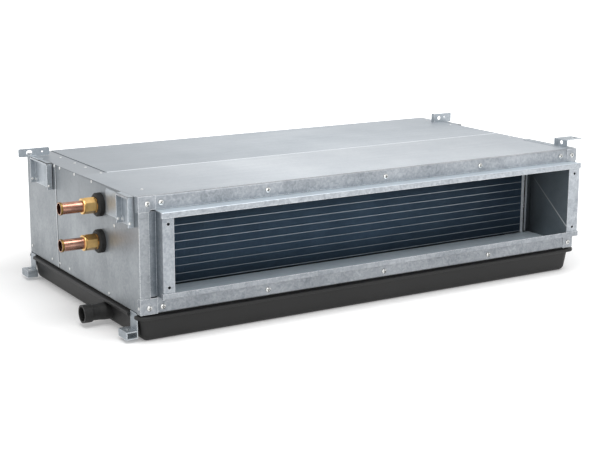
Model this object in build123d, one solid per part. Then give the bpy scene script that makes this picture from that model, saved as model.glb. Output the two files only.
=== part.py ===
from build123d import *
import os
from math import cos, hypot, pi, radians, sin

# Casing, in millimetres. X runs along the outlet, Y from outlet to air return, Z upwards.
# The origin is the middle of the drain pan's underside, which stands on the floor.
casing_length = 1150.0
casing_depth = 620.0
casing_height = 240.0
sheet = 1.2
bend_radius = 1.0
fit_gap = 0.3

# Casing panels
panel_seam = 440.0
cover_seam = 290.0
side_flange = 12.0
top_strip = 58.0
seam_gap = 1.5
left_post_width = 22.0
right_post_width = 12.0
rail_lip = 14.0
rail_foot = 25.0
corner_left = 37.0
corner_right = 30.0
corner_drop = 25.0
corner_step = 5.0
corner_wrap = 14.0

# Outlet duct collar
collar_side = 37.0
collar_end = 13.0
collar_low = 34.4
collar_drop = 27.7
collar_reach = 31.5
strip_left = 25.0
strip_right = 34.0
strip_edge = 12.0
collar_flange = 21.0
hem_reach = 2.0
hem_depth = 7.0
flange_hole = 6.6
flange_hole_left = 12.5
flange_hole_right = 17.0
flange_hole_low = 24.0
flange_hole_high = 24.0

# Air path in front of the coil
floor_height = 21.0
guide_depth = 108.0
crease_offset = 4.0
crease_high = 172.0
foam = 8.0

# Coil
coil_front = 111.0
coil_depth = 92.0
coil_left = 76.0
coil_right = 64.0
coil_low = 23.0
coil_high = 5.0
end_plate_flange = 10.0
tube_diameter = 12.7
tube_wall = 0.7
tube_pitch = 34.6
row_pitch = 30.0
row_tubes = 6
first_row = 18.0
tube_low = 45.1
bend_start = 10.0
fin_groove_pitch = 16.0
fin_groove = 10.0
fin_groove_depth = 5.0

# Water connections
header_inset = 42.0
header_diameter = 25.0
header_wall = 1.2
return_height = 194.0
supply_height = 116.0
stub_length = 92.0
stub_ring = 2.5
stub_ring_width = 5.0
grommet_diameter = 50.0
grommet_thickness = 13.0
grommet_edge = 3.0
grommet_hub = 40.0
hex_flats = 30.0
hex_length = 25.0
hex_rim = 34.0
hex_rim_width = 5.0
hex_shank = 32.0
hex_chamfer = 1.6

# Drain pan
pan_drop = 60.0
pan_wall = 3.0
rim_thickness = 8.0
rim_overhang = 8.0
rim_roll = 3.0
gasket_height = 3.0
gasket_width = 8.0
pan_inset = 2.0
pan_taper = 9.0
pan_corner = 20.0
pan_edge = 15.0
spigot_place = 171.0
spigot_height = 28.5
spigot_length = 57.0
spigot_socket = 38.7
spigot_socket_length = 19.0
spigot_neck = 34.0
spigot_root = 37.0
spigot_root_length = 22.0
spigot_bore = 31.0

# Feet
foot_sheet = 2.0
foot_front = 17.0
foot_rear = 1.0
foot_length = 40.0
foot_width = 25.0
foot_height = 16.0
foot_low = 8.0
strap_width = 31.0
strap_tab = 14.0
foot_slot = 7.0
foot_slot_length = 12.0

# Hanging brackets
bracket_sheet = 1.5
hanger_sheet = 2.0
channel_flange = 12.0
rear_channel_start = 470.0
rear_channel_end = 590.0
rear_channel_drop = 57.0
front_channel_start = 33.0
front_channel_end = 101.0
front_channel_drop = 68.0
rear_left_plate = 560.0
rear_left_out = 42.0
rear_left_in = 33.0
rear_left_height = 19.5
rear_left_slot = 16.0
rear_left_hole = 15.0
plate_foot = 45.0
lug_length = 64.0
lug_height = 33.0
lug_top = 3.0
rear_right_plate = 520.0
rear_right_in = 31.0
rear_right_out = 24.0
rear_right_height = 24.0
rear_right_fold = 12.0
rear_right_hole = 16.0
front_right_inset = 12.0
front_right_start = 20.0
front_right_width = 40.0
front_right_height = 21.0
front_right_reach = 49.0
front_right_strap = 175.0
front_right_return = 5.0
rod_hole = 10.0
rod_slot_length = 14.0
rod_slot_width = 11.0
small_hole = 4.6

# Fans
deck_place = 250.0
wheel_radius = 75.0
wheel_width = 176.0
wheel_place = 368.0
wheel_height = 118.0
blade_count = 24
blade_depth = 13.0
blade_sheet = 1.0
wheel_ring = 3.0
hub_radius = 15.0
hub_length = 28.0
shaft_radius = 6.0
bearing_gap = 0.05
scroll_gap = 9.0
scroll_step = 9.0
scroll_wall = 1.0
scroll_width = 196.0
scroll_mouth = 96.0
mouth_flange = 12.0
inlet_radius = 63.0
inlet_lip = 5.0
blower_offset = 258.0
motor_radius = 52.0
motor_length = 130.0
motor_bell = 12.0
bearing_radius = 13.0
bearing_length = 12.0
cradle_width = 60.0
cradle_foot = 25.0
shaft_overhang = 20.0

# Air return and filter
return_side = 60.0
return_low = 34.0
return_high = 34.0
rail_side = 45.0
rail_depth = 14.0
filter_thickness = 10.0
filter_edge = 16.0
filter_low = 18.0
filter_high = 18.0
mesh_thickness = 1.0
pull_length = 30.0

# Electrical box
box_reach = 55.0
box_start = 150.0
box_length = 250.0
box_low = 60.0
box_height = 140.0
lid_lip = 10.0
gland_radius = 12.0
gland_bore = 5.0
gland_length = 24.0
terminal_pitch = 12.0
terminal_count = 9
terminal_depth = 22.0
terminal_height = 24.0

# Screws and rivets
screw_radius = 4.8
screw_head = 2.6
rivet_radius = 3.0
rivet_head = 1.6
rail_screw_left = 49.0
rail_screw_start = 294.0
rail_screw_pitch = 298.0
rail_screw_count = 2
upper_last_screw = 856.0
lower_last_screw = 889.0
rail_screw_inset = 13.0

# Faces of the casing
left = -casing_length / 2
right = casing_length / 2
front = -casing_depth / 2
rear = casing_depth / 2
base = pan_drop
top = pan_drop + casing_height
duct_left = left + collar_side
duct_right = right - collar_end
duct_low = base + collar_low
duct_high = top - collar_drop
duct_face = front - collar_reach
outlet_left = duct_left + strip_left
outlet_right = duct_right - strip_right
outlet_low = duct_low + strip_edge
outlet_high = duct_high - strip_edge

# Pieces of the part, by name
nodes = {}

AXES = {"X": (1, 0, 0), "Y": (0, 1, 0), "Z": (0, 0, 1)}


def section_plane(axis, at):
    """Plane across an axis. Its own x and y follow the other two axes in X, Y, Z order."""
    if axis == "X":
        return Plane(origin=(at, 0, 0), x_dir=(0, 1, 0), z_dir=(1, 0, 0))
    if axis == "Y":
        return Plane(origin=(0, at, 0), x_dir=(1, 0, 0), z_dir=(0, -1, 0))
    return Plane(origin=(0, 0, at))


def pull(sketch, axis, start, end):
    """Flat section drawn out along an axis from start to end"""
    return extrude(section_plane(axis, start) * sketch, amount=end - start, dir=AXES[axis])


def outline(points):
    """Flat section with straight edges"""
    return make_face(Polyline(*points, close=True))


def rectangle(low, high):
    """Flat section between two opposite corners"""
    return Pos((low[0] + high[0]) / 2, (low[1] + high[1]) / 2) * Rectangle(high[0] - low[0], high[1] - low[1])


def disc(centre, radius):
    """Round flat section"""
    return Pos(*centre) * Circle(radius)


def slot(centre, length, width, turn=0):
    """Flat section of a slot with round ends"""
    return Pos(*centre) * Rot(0, 0, turn) * SlotOverall(length, width)


def bent_outline(line, thickness, radius=bend_radius):
    """Section of a sheet bent along a line, with its metal on the left of the line and rounded folds"""
    inner = []
    turns = []
    last = len(line) - 1
    for place, point in enumerate(line):
        before = line[max(place - 1, 0)]
        after = line[min(place + 1, last)]
        sides = []
        if place > 0:
            sides.append((point[0] - before[0], point[1] - before[1]))
        if place < last:
            sides.append((after[0] - point[0], after[1] - point[1]))
        normals = [(-y / hypot(x, y), x / hypot(x, y)) for x, y in sides]
        across = sum(n[0] for n in normals)
        along = sum(n[1] for n in normals)
        spread = 1 if len(normals) == 1 else 1 + normals[0][0] * normals[1][0] + normals[0][1] * normals[1][1]
        inner.append((point[0] + thickness * across / spread, point[1] + thickness * along / spread))
        if len(sides) == 2:
            turns.append((place, sides[0][0] * sides[1][1] - sides[0][1] * sides[1][0]))
    section = outline(list(line) + inner[::-1])
    for place, turn in turns:
        if radius == 0:
            continue
        tight, wide = (inner[place], line[place]) if turn * thickness > 0 else (line[place], inner[place])
        for corner, size in ((wide, radius + abs(thickness)), (tight, radius)):
            section = fillet(section.vertices().sort_by_distance((*corner, 0))[0], size)
    return section


def folded(line, axis, start, end, thickness=sheet, radius=bend_radius):
    """Folded sheet-metal strip of one bend line"""
    return pull(bent_outline(line, thickness, radius), axis, start, end)


def add(name, *shapes):
    """Keep a piece. Separate solids of one group stay separate."""
    solids = [solid for shape in shapes for solid in shape.solids()]
    nodes[name] = Compound(children=solids) if len(solids) > 1 else solids[0]


# Side panels: a wall with a flange under the covers and one above the pan
def side_panel(side, start, end, strip_start):
    """One length of side panel. side is -1 at the left and 1 at the right."""
    wall = left if side < 0 else right
    flange = wall - side * side_flange
    high = top - sheet
    line = [(flange, base), (wall, base), (wall, high), (flange, high)]
    panel = folded(line, "Y", start, end, sheet if side > 0 else -sheet)
    if side < 0 and end > strip_start:
        reach = rectangle((wall + sheet, max(start, strip_start)), (wall + top_strip, end))
        panel = panel + pull(reach, "Z", high - sheet, high)
    return panel


pipe_place = front + coil_front + first_row + 2 * row_pitch
pipe_holes = [disc((pipe_place, base + height), grommet_hub / 2) for height in (return_height, supply_height)]
left_front = side_panel(-1, front + sheet, front + panel_seam, front + cover_seam + seam_gap)
for hole in pipe_holes:
    left_front = left_front - pull(hole, "X", left - 1, left + sheet + 1)
add("left_front_panel", left_front)
rear_start = front + panel_seam + fit_gap
add("left_rear_panel", side_panel(-1, rear_start, rear - sheet, front + cover_seam))
add("right_rear_panel", side_panel(1, rear_start, rear - sheet, 0))

# The cable enters the casing through a round hole inside the electrical box
box_middle = front + box_start + box_length / 2
right_front = side_panel(1, front + sheet, front + panel_seam, 0)
cable_hole = disc((front + box_start + box_length - 40, base + box_low + 30), gland_radius)
add("right_front_panel", right_front - pull(cable_hole, "X", right - sheet - 1, right + 1))

# Top covers. The rear one laps over the strip of the left side panels.
front_cover = rectangle((left, front + sheet + bend_radius), (right, front + cover_seam))
add("front_top_cover", pull(front_cover, "Z", top - sheet, top))
rear_cover = rectangle((left + top_strip + seam_gap, front + cover_seam + seam_gap), (right, rear))
cover_edge = [
    (left + top_strip + seam_gap, top - 4 * sheet),
    (left + top_strip + seam_gap, top),
    (left + top_strip + seam_gap + side_flange, top),
]
cover_hem = folded(cover_edge, "Y", front + cover_seam + seam_gap, rear - 2 * sheet, -sheet)
add("rear_top_cover", pull(rear_cover, "Z", top - sheet, top) + cover_hem)

# Front frame: rails with a foot or lip, and posts that stand between the covers and the base
rail_left = left + left_post_width
rail_right = right - right_post_width
top_rail_line = [(front, duct_high + sheet), (front, top + sheet), (front + rail_lip, top + sheet)]
add("top_rail", folded(top_rail_line, "X", rail_left, rail_right, -sheet))
bottom_rail_line = [(front, duct_low - sheet), (front, base), (front + rail_foot, base)]
add("bottom_rail", folded(bottom_rail_line, "X", rail_left, rail_right, sheet))
post_leg = front + rail_lip + sheet
left_post_line = [(rail_left, front), (left + sheet, front), (left + sheet, post_leg)]
right_post_line = [(rail_right, front), (right - sheet, front), (right - sheet, post_leg)]
post_low = base + sheet
post_high = top - 2 * sheet
left_face = rectangle((left, base), (rail_left, top))
left_post = folded(left_post_line, "Z", post_low, post_high, -sheet)
add("left_post", left_post + pull(left_face, "Y", front, front + sheet))
right_face = rectangle((rail_right, base), (right, top))
right_post = folded(right_post_line, "Z", post_low, post_high, sheet)
add("right_post", right_post + pull(right_face, "Y", front, front + sheet))


# Corner plates over the joints of rails and posts, with a lip on the cover and a wrap round the left side
low_line = duct_low - sheet
corner_face = front - sheet
step_line = top - corner_drop - corner_step
top_left_plan = [
    (left - sheet, top + 2 * sheet),
    (left + corner_left, top + 2 * sheet),
    (left + corner_left, top - corner_drop),
    (rail_left + corner_step, top - corner_drop),
    (rail_left, step_line),
    (left - sheet, step_line),
]
top_left = pull(outline(top_left_plan), "Y", corner_face, front)
left_lip = rectangle((left - sheet, front), (left + corner_left, front + rail_lip))
top_left = top_left + pull(left_lip, "Z", top + sheet, top + 2 * sheet)
left_filler = rectangle((left, front + sheet), (rail_left, front + rail_lip))
top_left = top_left + pull(left_filler, "Z", top, top + sheet)
top_wrap = rectangle((front, step_line), (front + corner_wrap, top + 2 * sheet))
top_left = top_left + pull(chamfer(top_wrap.vertices().sort_by(Axis.Y)[0], corner_step), "X", left - sheet, left)
bottom_left = pull(rectangle((left - sheet, base), (left + corner_left, low_line)), "Y", corner_face, front)
low_wrap = rectangle((front, base), (front + corner_wrap, low_line))
bottom_left = bottom_left + pull(chamfer(low_wrap.vertices().sort_by(Axis.Y)[-1], corner_step), "X", left - sheet, left)
right_edge = right - corner_right
top_right = pull(rectangle((right_edge, duct_high + sheet), (right, top + 2 * sheet)), "Y", corner_face, front)
right_lip = rectangle((right_edge, front), (right, front + rail_lip))
top_right = top_right + pull(right_lip, "Z", top + sheet, top + 2 * sheet)
right_filler = rectangle((rail_right, front + sheet), (right, front + rail_lip))
top_right = top_right + pull(right_filler, "Z", top, top + sheet)
bottom_right = pull(rectangle((right_edge, base), (right, low_line)), "Y", corner_face, front)
add("corner_plates", top_left, bottom_left, top_right, bottom_right)

# Outlet collar: four folded pieces with a flange behind the frame and a strip in front
strip_face = duct_face + sheet
flange_back = front + 2 * sheet
collar_foot = duct_low + sheet
collar_head = duct_high - sheet
flange_left = duct_left - collar_flange
left_collar_line = [
    (flange_left, flange_back),
    (duct_left + sheet, flange_back),
    (duct_left + sheet, strip_face + sheet),
    (outlet_left, strip_face + sheet),
]
right_collar_line = [
    (right - 2 * sheet - bend_radius, flange_back),
    (duct_right - sheet, flange_back),
    (duct_right - sheet, strip_face + sheet),
    (outlet_right, strip_face + sheet),
]
hole_left = outlet_left - flange_hole_left
hole_right = outlet_right + flange_hole_right
hole_low = duct_low + flange_hole_low
hole_high = duct_high - flange_hole_high
left_collar = folded(left_collar_line, "Z", collar_foot, collar_head, -sheet)
right_collar = folded(right_collar_line, "Z", collar_foot, collar_head, sheet)
for height in (hole_low, hole_high):
    left_hole = disc((hole_left, height), flange_hole / 2)
    right_hole = disc((hole_right, height), flange_hole / 2)
    left_collar = left_collar - pull(left_hole, "Y", duct_face - 1, strip_face + sheet + 1)
    right_collar = right_collar - pull(right_hole, "Y", duct_face - 1, strip_face + sheet + 1)
add("collar_left", left_collar)
add("collar_right", right_collar)
collar_lip = 11.0
top_collar_line = [
    (flange_back, duct_high + collar_lip),
    (flange_back, duct_high - sheet),
    (strip_face, duct_high - sheet),
    (strip_face, outlet_high),
]
bottom_collar_line = [
    (flange_back, duct_low - collar_lip),
    (flange_back, duct_low + sheet),
    (strip_face, duct_low + sheet),
    (strip_face, outlet_low),
]
for name, line, side, low, high in (
    ("collar_top", top_collar_line, -1, outlet_high, duct_high),
    ("collar_bottom", bottom_collar_line, 1, duct_low, outlet_low),
):
    piece = folded(line, "X", duct_left, duct_right, side * sheet)
    for face, outer in ((duct_left, duct_left - hem_reach), (duct_right, duct_right + hem_reach)):
        hem = rectangle((min(face, outer), duct_face), (max(face, outer), strip_face + hem_depth))
        far_corners = hem.vertices().filter_by(lambda v: abs(v.X - outer) < 0.01)
        piece = piece + pull(fillet(far_corners, hem_reach * 0.6), "Z", low, high)
    add(name, piece)

# Coil floor: a tray plate that stands on the bottom rail and on the side panels
floor_front = front + 2 * sheet + fit_gap
floor_rear = front + guide_depth
floor_top = base + floor_height + sheet
floor_line = [
    (floor_front, base + sheet),
    (floor_front, floor_top),
    (floor_rear, floor_top),
    (floor_rear, base + sheet),
]
floor_left = left + left_post_width + fit_gap
floor_right = right - right_post_width - fit_gap
add("coil_floor", folded(floor_line, "X", floor_left, floor_right, -sheet))


# Air guides beside the outlet, stiffened by one diagonal crease
def air_guide(face, side):
    """Creased wall from the flange strip to the coil. side points away from the air."""
    tip = strip_face + sheet
    step = flange_back + fit_gap
    inside = floor_rear - 1
    crease = base + crease_high
    ceiling = top - sheet
    lower = [(tip, collar_foot), (step, collar_foot), (step, floor_top), (inside, floor_top), (inside, crease)]
    upper = [(tip, collar_foot), (inside, crease), (inside, ceiling), (step, ceiling), (step, collar_head)]
    upper.append((tip, collar_head))
    flat = pull(outline(lower), "X", face, face + side * sheet)
    run = inside - tip
    rise = crease - collar_foot

    def lean(point):
        """Distance from the crease, as a share of the farthest corner's"""
        drop = (point[1] - collar_foot) * run - (point[0] - tip) * rise
        return crease_offset * drop / ((collar_head - collar_foot) * run)

    near = [Vector(face + side * lean(p), p[0], p[1]) for p in upper]
    slope = make_face(Polyline(*near, close=True))
    bent = extrude(slope, amount=sheet, dir=(side, 0, 0))
    return flat + bent


add("left_air_guide", air_guide(outlet_left, -1))
add("right_air_guide", air_guide(outlet_right, 1))

# Foam glued under the front cover
foam_area = rectangle((outlet_left + sheet, flange_back + collar_lip), (outlet_right - sheet, floor_rear))
add("top_insulation", pull(foam_area, "Z", top - sheet - foam, top - sheet))

# Coil: block of pressed-on fins between two end plates, with tubes in three staggered rows
fins_left = left + coil_left
fins_right = right - coil_right
fins_front = front + coil_front
fins_rear = fins_front + coil_depth
fins_low = base + coil_low
fins_high = top - sheet - coil_high
rows = [fins_front + first_row + row * row_pitch for row in range(3)]
straight = [base + tube_low + place * tube_pitch for place in range(row_tubes)]
staggered = [height - tube_pitch / 2 for height in straight]
tube_holes = [(rows[0], z) for z in straight] + [(rows[1], z) for z in staggered] + [(rows[2], z) for z in straight]
hole_radius = tube_diameter / 2
all_holes = Sketch() + [disc(place, hole_radius) for place in tube_holes]
block = pull(rectangle((fins_front, fins_low), (fins_rear, fins_high)) - all_holes, "X", fins_left, fins_right)
groove_count = int((fins_right - fins_left - fin_groove) // fin_groove_pitch)
groove_start = (fins_left + fins_right - (groove_count - 1) * fin_groove_pitch) / 2
grooves = Sketch() + [
    rectangle(
        (groove_start + n * fin_groove_pitch - fin_groove / 2, fins_front - 1),
        (groove_start + n * fin_groove_pitch + fin_groove / 2, fins_front + fin_groove_depth),
    )
    for n in range(groove_count)
]
add("coil_fins", block - pull(grooves, "Z", fins_low - 1, fins_high + 1))


def end_plate(face, side):
    """End plate that the tubes pass through, with a flange towards the outlet"""
    outer = face + side * sheet
    low = base + 2 * sheet
    line = [(face - side * end_plate_flange, fins_front - sheet), (outer, fins_front - sheet)]
    line.append((outer, fins_rear + end_plate_flange))
    plate = folded(line, "Z", low, fins_high, side * sheet, 0)
    return plate - pull(all_holes, "X", min(face, outer) - 1, max(face, outer) + 1)


add("coil_end_plate_left", end_plate(fins_left, -1))
add("coil_end_plate_right", end_plate(fins_right, 1))

# Tubes reach past the end plates. The rear row runs on to the headers at the left.
bend_left = fins_left - sheet - bend_start
bend_right = fins_right + sheet + bend_start
header_axis = left + header_inset
tube_section = Circle(tube_diameter / 2) - Circle(tube_diameter / 2 - tube_wall)
tubes = []
for y, z in tube_holes:
    start = header_axis + header_diameter / 2 - header_wall if y == rows[2] else bend_left
    tubes.append(pull(Pos(y, z) * tube_section, "X", start, bend_right))
add("coil_tubes", *tubes)


def return_bend(start, end, face, side):
    """Half-round bend that joins two tubes at one end of the coil"""
    reach = hypot(end[0] - start[0], end[1] - start[1]) / 2
    middle = ((start[0] + end[0]) / 2, (start[1] + end[1]) / 2)
    arc = ThreePointArc((face, *start), (face + side * reach, *middle), (face, *end))
    return sweep(Plane(origin=(face, *start), z_dir=(side, 0, 0)) * tube_section, path=arc)


def crossover(low, high, reach):
    """Long tube that joins the lower half of the front row to the upper half"""
    corner = tube_diameter
    y = rows[0]
    corners = [(bend_right, y, low), (bend_right + reach, y, low), (bend_right + reach, y, high), (bend_right, y, high)]
    path = FilletPolyline(*corners, radius=corner)
    return sweep(Plane(origin=corners[0], z_dir=(1, 0, 0)) * tube_section, path=path)


half = row_tubes // 2
bends = []
for place in range(row_tubes):
    bends.append(return_bend((rows[2], straight[place]), (rows[1], staggered[place]), bend_right, 1))
    bends.append(return_bend((rows[1], staggered[place]), (rows[0], straight[place]), bend_left, -1))
for ring in range(half):
    reach = tube_diameter * (1.1 + 1.15 * ring)
    bends.append(crossover(straight[half - 1 - ring], straight[half + ring], reach))
add("return_bends", *bends)


# Headers: upright copper pipes with a connection stub brazed to each
def header(low, high, stub_height, tube_heights):
    """One closed header pipe with its horizontal stub"""
    outer = header_diameter / 2
    inner = outer - header_wall
    mouth = left - stub_length
    body = pull(disc((header_axis, rows[2]), outer), "Z", low, high)
    body = body + pull(disc((rows[2], stub_height), outer), "X", mouth, header_axis)
    body = body - pull(disc((header_axis, rows[2]), inner), "Z", low + header_wall, high - header_wall)
    body = body - pull(disc((rows[2], stub_height), inner), "X", mouth - 1, header_axis)
    for z in tube_heights:
        body = body - pull(disc((rows[2], z), hole_radius), "X", header_axis, header_axis + header_diameter)
    return body


header_end = tube_diameter
add("supply_header", header(straight[0] - header_end, straight[half - 1] + header_end, base + supply_height,
                            straight[:half]))
add("return_header", header(straight[half] - header_end, straight[-1] + header_end, base + return_height,
                            straight[half:]))

# Rings at the open ends, brass fittings and rubber grommets of the two connections
stub_radius = header_diameter / 2
ring_sketch = Circle(stub_radius + stub_ring / 2) - Circle(stub_radius)
rings = []
for name, height in (("return", base + return_height), ("supply", base + supply_height)):
    centre = (rows[2], height)
    ring = pull(Pos(*centre) * ring_sketch, "X", left - stub_length, left - stub_length + stub_ring_width)
    outer_edges = ring.edges().filter_by(GeomType.CIRCLE).filter_by(lambda e: e.radius > stub_radius + stub_ring / 4)
    rings.append(fillet(outer_edges, stub_ring * 0.4))
    grommet_face = left - grommet_thickness
    shank = disc(centre, hex_shank / 2)
    collar = pull(disc(centre, grommet_diameter / 2), "X", grommet_face, left)
    collar = chamfer(collar.edges().group_by(Axis.X)[0], grommet_edge)
    grommet = collar + pull(disc(centre, grommet_hub / 2), "X", grommet_face, left + sheet)
    grommet = grommet + pull(disc(centre, grommet_hub / 2 + 2), "X", left + sheet, left + 3 * sheet)
    grommet = grommet - pull(shank, "X", grommet_face - 1, left + 5 * sheet)
    add(name + "_grommet", grommet)
    hexagon = Pos(*centre) * RegularPolygon(hex_flats / 2, 6, major_radius=False, rotation=30)
    rim_face = grommet_face - hex_length
    turned = pull(disc(centre, hex_flats / 2 / cos(radians(30))), "X", rim_face, grommet_face)
    turned = chamfer(turned.edges().filter_by(GeomType.CIRCLE), hex_chamfer)
    rim = pull(disc(centre, hex_rim / 2), "X", rim_face - hex_rim_width, rim_face)
    rim = fillet(rim.edges().filter_by(GeomType.CIRCLE), hex_rim_width * 0.3)
    fitting = (pull(hexagon, "X", rim_face, grommet_face) & turned) + rim
    fitting = fitting + pull(shank, "X", grommet_face, left + 3 * sheet)
    fitting = fitting - pull(disc(centre, stub_radius), "X", rim_face - 10, left + 10)
    add(name + "_fitting", fitting)
add("stub_rings", *rings)

# Drain pan: a tapered tray with a rim below the casing, and a strip of gasket between them
rim_top = base - gasket_height
rim_low = rim_top - rim_thickness
pan_length = casing_length - 2 * pan_inset
pan_width = casing_depth - 2 * pan_inset


def pan_body(shrink, height_low):
    """Tapered body of the pan, drawn down from the underside of its rim"""
    plan = RectangleRounded(pan_length - 2 * shrink, pan_width - 2 * shrink, pan_corner - shrink)
    body = extrude(Plane(origin=(0, 0, rim_low), z_dir=(0, 0, -1)) * plan, amount=rim_low - height_low, taper=pan_taper)
    low_edges = body.edges().group_by(Axis.Z)[0]
    return fillet(low_edges, pan_edge - shrink)


pan_outer = pan_body(0, 0)
pan_inner = pan_body(pan_wall, pan_wall)
rim_plan = RectangleRounded(casing_length + 2 * rim_overhang, casing_depth + 2 * rim_overhang, pan_corner + pan_inset)
rim = pull(rim_plan, "Z", rim_low, rim_top)
rim = fillet(rim.edges().group_by(Axis.Z)[0] + rim.edges().group_by(Axis.Z)[-1], rim_roll)
rim_hole = RectangleRounded(pan_length - 2 * pan_wall, pan_width - 2 * pan_wall, pan_corner - pan_wall)
rim = rim - pull(rim_hole, "Z", rim_low, rim_top)
drain_axis = (front + spigot_place, spigot_height)
pan = pan_outer + rim - pan_inner
pan = pan - pull(disc(drain_axis, spigot_bore / 2), "X", left - 30, left + 30)
strap_places = (front + foot_front, rear - foot_rear - strap_width)
for place in strap_places:
    notch = rectangle((left - rim_overhang - 1, place - 1), (left + fit_gap, place + strap_width + 1))
    pan = pan - pull(notch, "Z", rim_low - 1, rim_top + 1)
add("drain_pan", pan)
gasket = RectangleRounded(pan_length, pan_width, pan_corner)
gasket = gasket - RectangleRounded(pan_length - 2 * gasket_width, pan_width - 2 * gasket_width, pan_corner - gasket_width)
seal = pull(gasket, "Z", rim_top, base)
for place in strap_places:
    tab = rectangle((left - 1, place - fit_gap), (left + strap_tab + fit_gap, place + strap_width + fit_gap))
    seal = seal - pull(tab, "Z", base - foot_sheet, base + 1)
add("pan_gasket", seal)

# Drain spigot: turned form with a socket end, trimmed to the slope of the pan wall
spigot_mouth = left - spigot_length
socket_end = spigot_mouth + spigot_socket_length
root_start = left - spigot_root_length
spigot_line = [
    (spigot_mouth, spigot_bore / 2),
    (spigot_mouth, spigot_socket / 2),
    (socket_end, spigot_socket / 2),
    (socket_end + 2, spigot_neck / 2),
    (root_start, spigot_neck / 2),
    (left - 8, spigot_root / 2),
    (left + 30, spigot_root / 2),
    (left + 30, spigot_bore / 2),
]
spigot_section = Plane(origin=(0, 0, 0), x_dir=(1, 0, 0), z_dir=(0, -1, 0)) * outline(spigot_line)
spigot = Pos(0, drain_axis[0], drain_axis[1]) * revolve(spigot_section, Axis.X, 360)
spigot = spigot - pan_outer
add("drain_spigot", spigot.solids().sort_by(Axis.X)[0])


# Feet: a strap with a tab under the casing runs down past the pan to a channel foot
def foot(strap_start, tube_start, closed):
    """Strap and channel foot at the left side"""
    strap_end = strap_start + strap_width
    tube_end = tube_start + foot_length
    tab = rectangle((left - foot_sheet, strap_start), (left + strap_tab, strap_end))
    strap = rectangle((left - foot_sheet, strap_start), (left, strap_end))
    shape = pull(tab, "Z", base - foot_sheet, base) + pull(strap, "Z", foot_low + foot_height / 2, base)
    outside = rectangle((left - foot_width, foot_low), (left, foot_low + foot_height))
    inside = rectangle((left - foot_width + foot_sheet, foot_low + foot_sheet),
                       (left - foot_sheet, foot_low + foot_height - foot_sheet))
    shape = shape + pull(outside - inside, "Y", tube_start, tube_end)
    if closed:
        shape = shape + pull(outside, "Y", tube_start, tube_start + foot_sheet)
    middle = (left - foot_width / 2 - 1, tube_start + foot_length / 2)
    hole = slot(middle, foot_slot_length, foot_slot, 90)
    return shape - pull(hole, "Z", foot_low + foot_height - foot_sheet - 1, foot_low + foot_height + 1)


rear_foot_start = rear - foot_rear - foot_length
front_foot = foot(strap_places[0], front + foot_front, False)
add("left_feet", front_foot, foot(strap_places[1], rear_foot_start, True))


# Hanging brackets
def channel(side, start, end, drop):
    """Shallow channel on a side wall, open below and outwards, with a shelf on top"""
    wall = left if side < 0 else right
    outer = wall + side * (channel_flange + bracket_sheet)
    line = [(outer, start), (wall, start), (wall, end), (outer, end)]
    body = folded(line, "Z", top - drop, top, -side * bracket_sheet)
    low, high = min(wall, outer), max(wall, outer)
    return body + pull(rectangle((low, start), (high, end)), "Z", top - bracket_sheet, top)


rear_channel = (front + rear_channel_start, front + rear_channel_end, rear_channel_drop)
front_channel = (front + front_channel_start, front + front_channel_end, front_channel_drop)

# Rear left: an angle stands on the shelf, its plate faces the outlet and sticks out for the rod
plate_face = front + rear_left_plate
plate_low = top + fit_gap
plate_plan = rectangle((left - rear_left_out, plate_low), (left + rear_left_in, top + rear_left_height))
plate_plan = fillet(plate_plan.vertices(), 4)
plate_middle = top + rear_left_height / 2
plate_plan = plate_plan - slot((left - rear_left_slot, plate_middle), rod_slot_length, rod_slot_width)
plate_plan = plate_plan - disc((left + rear_left_hole, plate_middle), small_hole / 2)
plate = pull(plate_plan, "Y", plate_face, plate_face + hanger_sheet)
shelf_edge = left - channel_flange - bracket_sheet
plate_base = rectangle((shelf_edge, plate_face - plate_foot), (left - fit_gap, plate_face + hanger_sheet))
rear_left = channel(-1, *rear_channel) + plate + pull(plate_base, "Z", top, top + hanger_sheet)
add("rear_left_bracket", rear_left)

# Front left: a lug runs back from the channel's rear flange
lug_start = front + front_channel_end
lug_high = top - lug_top
lug_plan = rectangle((lug_start - bracket_sheet, lug_high - lug_height), (lug_start + lug_length, lug_high))
lug_plan = fillet(lug_plan.vertices().group_by(Axis.X)[-1], 8)
lug = pull(lug_plan, "X", shelf_edge, shelf_edge + bracket_sheet)
add("front_left_bracket", channel(-1, *front_channel) + lug)

# Rear right: an upright plate near the corner, folded back at its inner end
plate_face = front + rear_right_plate
plate_plan = rectangle((right - rear_right_in, top), (right + rear_right_out, top + rear_right_height))
plate_plan = fillet(plate_plan.vertices().group_by(Axis.Y)[-1].sort_by(Axis.X)[-1], 3)
hole_z = top + rear_right_height / 2
plate_plan = plate_plan - disc((right - rear_right_hole, hole_z), rod_hole / 2)
plate_plan = plate_plan - disc((right + 2, hole_z + 2), small_hole / 2)
plate = pull(plate_plan, "Y", plate_face, plate_face + hanger_sheet)
fold = rectangle((plate_face, top), (plate_face + rear_right_fold, top + rear_right_height))
plate = plate + pull(fold, "X", right - rear_right_in - hanger_sheet, right - rear_right_in)
base_area = rectangle((right - rear_right_in, plate_face), (right + channel_flange, plate_face + rear_right_fold))
plate = plate + pull(base_area, "Z", top, top + bracket_sheet)
add("rear_right_bracket", channel(1, *rear_channel) + plate)

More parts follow.
